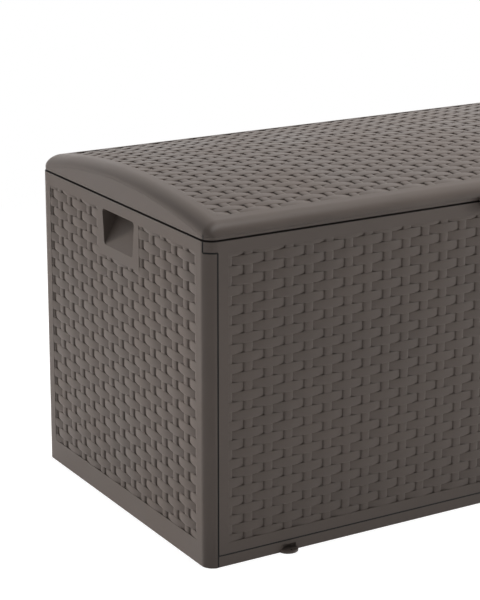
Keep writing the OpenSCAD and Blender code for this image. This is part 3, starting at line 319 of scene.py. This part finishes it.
# Height of a plain weave below the border, and the row moved by the bow. Strips run along the rows.
# Each has its crests over every other strand, falls with the square of the way to the next strands and
# dives under them. A fourth-power superellipse rounds it off towards its long edges, and it is a little
# wider at its crests. The strands dip with the fourth power of the way from a row's middle, and a
# superellipse of power 2.6 rounds them off to their sides. The surface is the strip, or the higher of
# the two where a strand passes over.
def weaveHeight(strand, row):
    rowNumber, strandNumber = np.round(row), np.round(strand)
    side = 2 * (row - rowNumber)
    crest = np.cos(np.pi * (strand - rowNumber - 1))
    bowed = row + side * weave["bow"] / weave["rowPitch"] * crest
    away = np.abs((strand - rowNumber) % 2 - 1) * weave["strandPitch"]
    reach = away / (weave["strandPitch"] - weave["strandHalf"])
    power = weave["stripPower"]
    strip = -weave["arch"] * reach ** 2 - weave["stripEdge"] * (1 - (1 - side ** power) ** (1 / power))
    across = np.clip(np.abs(strand - strandNumber) * weave["strandPitch"] / weave["strandHalf"], 0, 1)
    upright = -weave["strandLevel"] - weave["strandDip"] * side ** power
    power = weave["strandPower"]
    upright -= weave["strandEdge"] * (1 - (1 - across ** power) ** (1 / power))
    strandOver = (across < 1) & ((strandNumber - rowNumber) % 2 == 0)
    top = np.where(strandOver, np.maximum(strip, upright), strip)
    return np.maximum(top - weave["sink"], -weave["back"] + weave["thinnest"]), bowed


# Closed block: the woven top over a flat back, between two strand values and two row values.
# place turns strand, row and height into points.
def weaveBlock(strands, rows, place, start):
    alongLines = weaveLines(*strands, strandLines, weave["strandPitch"], True)
    downLines = weaveLines(*rows, rowLines, weave["rowPitch"], False)
    down, along = len(downLines), len(alongLines)
    strand, row = np.meshgrid(alongLines, downLines)
    height, bowed = weaveHeight(strand, row)
    bowed[0], bowed[-1] = row[0], row[-1]
    top = place(strand, bowed, height).reshape(-1, 3)
    ends, sides = np.meshgrid(np.array(strands), downLines)
    back = place(ends, sides, np.full_like(ends, -weave["back"])).reshape(-1, 3)
    topAt = start + np.arange(down * along).reshape(down, along)
    backAt = start + down * along + np.arange(down * 2).reshape(down, 2)
    faces = gridQuads(down, along, start)
    faces += np.stack([topAt[:-1, 0], topAt[1:, 0], backAt[1:, 0], backAt[:-1, 0]], 1).tolist()
    faces += np.stack([topAt[1:, -1], topAt[:-1, -1], backAt[:-1, 1], backAt[1:, 1]], 1).tolist()
    faces += np.stack([backAt[:-1, 0], backAt[1:, 0], backAt[1:, 1], backAt[:-1, 1]], 1).tolist()
    faces.append([*topAt[0, ::-1].tolist(), *backAt[0].tolist()])
    faces.append([*topAt[-1].tolist(), *backAt[-1, ::-1].tolist()])
    return np.concatenate([top, back]), faces


# One piece from several blocks, each as (strand range, row range).
def addWeave(name, blocks, place, body, slotName):
    points, faces, start = [], [], 0
    for strands, rows in blocks:
        blockPoints, blockFaces = weaveBlock(strands, rows, place, start)
        points.append(blockPoints)
        faces += blockFaces
        start += len(blockPoints)
    addPiece(name, np.concatenate(points), faces, body, slotName, weave["sharpAngle"])


def strandAtX(x):
    return x / weave["strandPitch"] + weave["middleStrand"]


def xAtStrand(strand):
    return (strand - weave["middleStrand"]) * weave["strandPitch"]


def rowAtZ(z):
    return (weave["firstRow"] - z) / weave["rowPitch"] + 1


def zAtRow(row):
    return weave["firstRow"] - (row - 1) * weave["rowPitch"]


# On the front (-1) or back (1) wall.
def placeLong(side):
    def place(strand, row, height):
        return np.stack([xAtStrand(strand), side * (halfDepth + height), zAtRow(row)], -1)
    return place


# On the left (-1) or right (1) wall, where strand 0 is in the middle.
def placeEnd(side):
    def place(strand, row, height):
        return np.stack([side * (halfLength + height), strand * weave["strandPitch"], zAtRow(row)], -1)
    return place


# Strand ranges of the left and right halves of a long field that ends at the strand value last.
def fieldHalves(last):
    middle = weave["middleStrand"]
    return (2 * middle - last, middle), (middle, last)


fieldX = halfLength - field["endMargin"] - field["gap"]
fieldY = halfDepth - field["sideMargin"] - field["gap"]
fieldTop = rowAtZ(wallTop - field["topMargin"] - field["gap"])
fieldLow = rowAtZ(field["bottom"] + field["gap"])

for name, ends in zip(("frontWeaveLeft", "frontWeaveRight"), fieldHalves(strandAtX(fieldX))):
    addWeave(name, [(ends, (fieldTop, fieldLow))], placeLong(-1), "box", "resin_panel")

pad = dict(places=(-0.560, 0.0, 0.560), half=0.049, bottom=0.6095)    # smooth, under the hinges
padRow = rowAtZ(pad["bottom"] - field["gap"])


# Blocks of one half of the back: a long one below the pads, and those beside the pads.
def backBlocks(ends):
    blocks, edge = [(ends, (padRow, fieldLow))], ends[0]
    for x in pad["places"]:
        left = strandAtX(x - pad["half"] - field["gap"])
        right = strandAtX(x + pad["half"] + field["gap"])
        if left < ends[1] and right > ends[0]:
            if left > edge:
                blocks.append(((edge, left), (fieldTop, padRow)))
            edge = right
    if edge < ends[1]:
        blocks.append(((edge, ends[1]), (fieldTop, padRow)))
    return blocks


for name, ends in zip(("backWeaveLeft", "backWeaveRight"), fieldHalves(strandAtX(fieldX))):
    addWeave(name, backBlocks(ends), placeLong(1), "box", "resin_panel")

pocket = dict(frameHalf=0.092, frameLow=0.553)    # smooth frame of the finger pocket
frameRow = rowAtZ(pocket["frameLow"] - field["gap"])
sideEnd = fieldY / weave["strandPitch"]
frameEnd = (pocket["frameHalf"] + field["gap"]) / weave["strandPitch"]
endBlocks = [
    ((-sideEnd, sideEnd), (frameRow, fieldLow)),
    ((-sideEnd, -frameEnd), (fieldTop, frameRow)),
    ((frameEnd, sideEnd), (fieldTop, frameRow))]
for name, side in (("leftWeave", -1), ("rightWeave", 1)):
    addWeave(name, endBlocks, placeEnd(side), "box", "resin_panel")
print("walls woven")


# lid

lid = dict(
    archDrop=0.031,      # from the crown to the arch's ends
    rollWidth=0.028,     # of the front and back rolls, beyond the arch
    skirt=0.006,         # height of the upright rim under the rolls
    rollFall=0.18,       # flattens a roll, so that it leaves the arch at the arch's own slope
    band=0.035,          # width of the rounded end bands
    endFace=0.043,       # height of the end faces at their middle
    cornerRadius=0.0245, leastRadius=0.001,
    wall=0.004, topWall=0.010,
    framePlate=0.004,    # thickness of the frame's plate, which the screw ledge rests on
    ledgeWidth=0.016, ledgeHeight=0.006,
    insideLift=0.0005,   # how far the inner surface starts above the ledge
    fieldDepth=0.006,
    fieldStep=0.0001,    # width of the step down into the sunken field
    fieldGap=0.0002,     # how much smaller than the field its weave is, at each side
    bandGap=0.004,       # least distance of the field from an end band
    edgeRow=0.0012,      # a row this far inside the arch's ends keeps the rolls' shading off the arch
    rollRows=15, archRows=61, bandColumns=15,
    sharpAngle=35)
lidBase, lidLength, lidDepth, crown = lidLow.z, lidHigh.x, lidHigh.y, lidHigh.z
archHalf = lidDepth - lid["rollWidth"]
archRadius = (archHalf ** 2 + lid["archDrop"] ** 2) / (2 * lid["archDrop"])
endRadius = (lidDepth ** 2 + lid["endFace"] ** 2) / (2 * lid["endFace"])
borderColumn, fieldColumn = 91, 92    # stand for the columns past an end band, which has 0 to 90


# Height of the arch: a circle of archRadius whose top is at the given height.
def archAt(y, top):
    return top - archRadius + np.sqrt(archRadius ** 2 - y ** 2)


# Half length of the lid at y: straight, with a quarter circle at each plan corner.
def lidEnd(y, inset):
    r = max(lid["cornerRadius"] - inset, lid["leastRadius"])
    past = np.clip(np.abs(y) - (lidDepth - inset - r), 0, r)
    return lidLength - inset - r + np.sqrt(r ** 2 - past ** 2)


# Points of the lid at rows (kind, value) and columns (side, angle, step). Between the rolls, kind 0, a
# row is a share of the arch. On the front or back roll, kind -1 or 1, it is an angle up a quarter
# ellipse, whose height outside, where drop is 0, is less by the share rollFall times the angle's
# cosine. Over an end band, a point moves in by the band's width times one less the cosine of the
# column's angle, and up as its sine, from the end face's upper edge to the row's own crest. That edge
# is a circle of endRadius, lowered by edgeFall. Columns past 90 run along the margin of the field.
def lidSurface(rows, columns, inset, drop, edgeFall, low):
    kind, value = [a[:, None] for a in rows]
    side, angle, step = [a[None, :] for a in columns]
    onArch, inMiddle = kind == 0, angle > 90
    up = np.radians(value)
    y = np.where(onArch, value * (archHalf - inset),
        kind * (archHalf - inset + lid["rollWidth"] * np.cos(up)))
    top = crown - drop
    shoulder = archAt(archHalf - inset, top)
    fall = 1 - lid["rollFall"] * np.cos(up) * (drop == 0)
    crest = np.where(onArch, archAt(np.where(onArch, y, 0), top),
        low + (shoulder - low) * np.sin(up) * fall)
    edge = lidEnd(y, inset)
    over = np.radians(np.minimum(angle, 90))
    margin = np.minimum(halfLength - field["endMargin"], edge - lid["band"] - lid["bandGap"])
    x = side * np.where(inMiddle, margin - step, edge - lid["band"] * (1 - np.cos(over)))
    endCentre = lidBase + lid["endFace"] - endRadius
    face = endCentre + np.sqrt(endRadius ** 2 - np.minimum(y ** 2, lidDepth ** 2))
    foot = np.minimum(np.maximum(low, face - edgeFall), crest)
    z = np.where(inMiddle, crest, foot + (crest - foot) * np.sin(over))
    return np.stack(np.broadcast_arrays(x, y, z), -1)


# The whole shell as one closed surface: outside, inside, and loops round the rim and screw ledge.
def buildLidSkin():
    share = (halfDepth - field["sideMargin"]) / archHalf
    inner = share - lid["fieldStep"] / archHalf
    edge = 1 - lid["edgeRow"] / archHalf
    rollAngles = np.linspace(0, 90, lid["rollRows"])
    archShares = np.linspace(-1, 1, lid["archRows"]) * inner
    roll, arch = np.ones(lid["rollRows"]), np.zeros(lid["archRows"])
    kind = np.concatenate([-roll, [0, 0], arch, [0, 0], roll])
    value = np.concatenate([rollAngles, [-edge, -share], archShares, [share, edge], rollAngles[::-1]])
    leftAngles = np.append(np.linspace(0, 90, lid["bandColumns"]), [borderColumn, fieldColumn])
    angle = np.append(leftAngles, leftAngles[::-1])
    side = np.repeat([-1.0, 1.0], len(leftAngles))
    step = np.where(angle == fieldColumn, lid["fieldStep"], 0.0)
    rows, columns = (kind, value), (side, angle, step)
    ledgeBase = lidBase + lid["framePlate"]
    ledgeTop = ledgeBase + lid["ledgeHeight"]
    outside = lidSurface(rows, columns, 0, 0, 0, lidBase + lid["skirt"])
    inside = lidSurface(rows, columns, lid["wall"], lid["topWall"], lid["wall"],
        ledgeTop + lid["insideLift"])
    sunkRow = (kind == 0) & (np.abs(value) < share - lid["fieldStep"] / 2 / archHalf)
    sunk = sunkRow[:, None] & (angle == fieldColumn)[None, :]
    outside[..., 2] -= np.where(sunk, lid["fieldDepth"], 0)
    down, along = outside.shape[:2]
    rim = np.concatenate([np.arange(down) * along, (down - 1) * along + np.arange(1, along),
        np.arange(down - 2, -1, -1) * along + along - 1, np.arange(along - 2, 0, -1)])
    ledgeInset = lid["wall"] + lid["ledgeWidth"]
    loops = []
    for inset, z in ((0, lidBase), (lid["wall"], lidBase), (lid["wall"], ledgeBase),
            (ledgeInset, ledgeBase), (ledgeInset, ledgeTop), (lid["wall"], ledgeTop)):
        loop = lidSurface(rows, columns, inset, 0, 0, lidBase).reshape(-1, 3)[rim]
        loop[:, 2] = z
        loops.append(loop)
    points = np.concatenate([outside.reshape(-1, 3), inside.reshape(-1, 3), *loops])
    count = down * along
    rings = [2 * count + number * len(rim) + np.arange(len(rim)) for number in range(len(loops))]
    rings = [rim, *rings, rim + count]
    faces = gridQuads(down, along) + [quad[::-1] for quad in gridQuads(down, along, count)]
    for a, b in zip(rings[:-1], rings[1:]):
        faces += np.stack([a, np.roll(a, -1), np.roll(b, -1), b], 1)[:, ::-1].tolist()
    skin = addPiece("lidSkin", points, faces, "lid", "resin_lid", lid["sharpAngle"])
    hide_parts("lid_shell")


# On the arch: rows are counted along its arc from the crown, and the height is upright.
def placeLid(strand, row, height):
    y = archRadius * np.sin(row * weave["rowPitch"] / archRadius)
    return np.stack([xAtStrand(strand), y, archAt(y, crown) + height], -1)


buildLidSkin()
lidRow = archRadius * math.asin((fieldY - lid["fieldGap"]) / archRadius) / weave["rowPitch"]
lidHalves = fieldHalves(strandAtX(fieldX - lid["fieldGap"]))
for name, ends in zip(("lidWeaveLeft", "lidWeaveRight"), lidHalves):
    addWeave(name, [(ends, (-lidRow, lidRow))], placeLid, "lid", "resin_lid")
print("lid made")


# floor, lights and camera

studio = dict(
    floorGlow=0.34,      # light that a pale floor under studio lights gives off
    floorTint=0.6,       # and the share of the light on it that it returns
    seenGlow=0.93,       # the same two for the camera, so that the floor is white and keeps a shadow
    seenTint=0.30,
    floorSize=30.0,
    shadowNear=1.2,      # from this distance to the next, the floor turns plain white
    shadowReach=2.6)


# 1 for rays from the camera, a reflection or a see-through surface.
def seenRays(tree):
    path = addNode(tree, "ShaderNodeLightPath").outputs
    seen = calc(tree, "MAXIMUM", path["Is Camera Ray"], path["Is Glossy Ray"])
    return calc(tree, "MAXIMUM", seen, path["Is Transmission Ray"])


# Pale floor. The camera sees it as nearly white with a shadow near the box, and plain white far off.
def buildFloor():
    size = studio["floorSize"]
    corners = [(-size, -size, 0), (size, -size, 0), (size, size, 0), (-size, size, 0)]
    mesh = bpy.data.meshes.new("studioFloor")
    mesh.from_pydata(corners, [], [(0, 1, 2, 3)])
    floor = bpy.data.objects.new("studioFloor", mesh)
    bpy.context.scene.collection.objects.link(floor)
    material = bpy.data.materials.new("paleFloor")
    material.use_nodes = True
    tree = material.node_tree
    tree.nodes.clear()

    def glowing(strength):
        links = [("Color", (1, 1, 1, 1)), ("Strength", strength)]
        return addNode(tree, "ShaderNodeEmission", links).outputs[0]

    def surface(tint, glow):
        plain = addNode(tree, "ShaderNodeBsdfDiffuse", [("Color", (tint, tint, tint, 1))]).outputs[0]
        return addNode(tree, "ShaderNodeAddShader", [(0, plain), (1, glowing(glow))]).outputs[0]

    def mixed(factor, first, second):
        return addNode(tree, "ShaderNodeMixShader", [(0, factor), (1, first), (2, second)]).outputs[0]

    place = addNode(tree, "ShaderNodeTexCoord").outputs["Object"]
    away = addNode(tree, "ShaderNodeVectorMath", [(0, place)], operation="LENGTH").outputs["Value"]
    far = ramp(tree, away, studio["shadowNear"], studio["shadowReach"], soft=True)
    seen = mixed(far, surface(studio["seenTint"], studio["seenGlow"]), glowing(1.0))
    pale = mixed(seenRays(tree), surface(studio["floorTint"], studio["floorGlow"]), seen)
    addNode(tree, "ShaderNodeOutputMaterial", [("Surface", pale)])
    mesh.materials.append(material)


# Light from all round, each as (axis, start, end, low, high): it goes from low to high as the
# direction's part along the axis goes from start to end.
walls = dict(
    back=("Y", -0.15, 0.45, 0.08, 0.95),      # low is the light from the front
    right=("X", 0.2, 0.9, 0.0, 0.30),
    left=("X", -0.2, -0.9, 0.0, 0.13),
    ceiling=("Z", 0.15, 0.6, 1.0, 0.32))      # multiplies the others


# White where the camera or a reflection sees it. Its light comes mostly from the back, some from the
# right and the left and little from the front, and fades overhead.
def buildWorld():
    world = bpy.data.worlds.new("studioWorld")
    bpy.context.scene.world = world
    world.use_nodes = True
    tree = world.node_tree
    tree.nodes.clear()
    place = addNode(tree, "ShaderNodeTexCoord").outputs["Generated"]
    axes = addNode(tree, "ShaderNodeSeparateXYZ", [("Vector", place)]).outputs
    back, right, left, ceiling = [ramp(tree, axes[axis], *limits, soft=True)
        for axis, *limits in walls.values()]
    light = calc(tree, "ADD", calc(tree, "ADD", back, right), left)
    light = calc(tree, "MULTIPLY", light, ceiling)
    strength = addNode(tree, "ShaderNodeMix", [("Factor", seenRays(tree)), ("A", light), ("B", 1.0)])
    background = addNode(tree, "ShaderNodeBackground", [("Color", (1, 1, 1, 1)),
        ("Strength", strength.outputs[0])])
    addNode(tree, "ShaderNodeOutputWorld", [("Surface", background.outputs[0])])


lamps = {
    # low behind the left end, with a narrow beam that grazes it
    "leftLamp": dict(spread=38, place=(-2.2, 4.3, 0.28), aim=(-1.75, 0, 0.35), size=(0.7, 0.6), power=42),
    "rightLamp": dict(gloss=True, place=(4.4, -2.4, 1.3), aim=(0, -0.4, 0.35), size=(1.2, 1.2), power=84),
    "topLamp": dict(place=(3.2, 0.9, 5.6), aim=(-0.2, 0, 0.7), size=(3.2, 3.2), power=540),
    # only a sheen, most of it along the lid's front roll
    "sheenLamp": dict(diffuse=False, gloss=True, place=(0.2, -1.3, 4.8), aim=(-0.3, -0.37, 0.7),
        size=(2.4, 0.6), power=70),
}


# Rectangular lamps. They make no sheen unless they have gloss, and only that if diffuse is False.
def buildLamps():
    for name, lamp in lamps.items():
        data = bpy.data.lights.new(name, "AREA")
        data.shape, data.energy = "RECTANGLE", lamp["power"]
        data.size, data.size_y = lamp["size"]
        data.spread = math.radians(lamp.get("spread", 180))
        light = bpy.data.objects.new(name, data)
        bpy.context.scene.collection.objects.link(light)
        light.visible_glossy = lamp.get("gloss", False)
        light.visible_diffuse = lamp.get("diffuse", True)
        light.location = lamp["place"]
        toAim = Vector(lamp["aim"]) - Vector(lamp["place"])
        light.rotation_euler = toAim.to_track_quat("-Z", "Y").to_euler()


camera = dict(place=(-2.594, -3.553, 1.669), azimuth=30.704, down=14.153, lens=118.41, shift=-0.15,
    reach=200)


def buildCamera():
    data = bpy.data.cameras.new("studioCamera")
    data.lens, data.shift_y, data.clip_end = camera["lens"], camera["shift"], camera["reach"]
    cam = bpy.data.objects.new("studioCamera", data)
    bpy.context.scene.collection.objects.link(cam)
    cam.location = camera["place"]
    cam.rotation_euler = (math.radians(90 - camera["down"]), 0, -math.radians(camera["azimuth"]))
    bpy.context.scene.camera = cam


buildFloor()
buildWorld()
buildLamps()
buildCamera()
bpy.context.scene.view_settings.view_transform = "Standard"
print("studio ready")
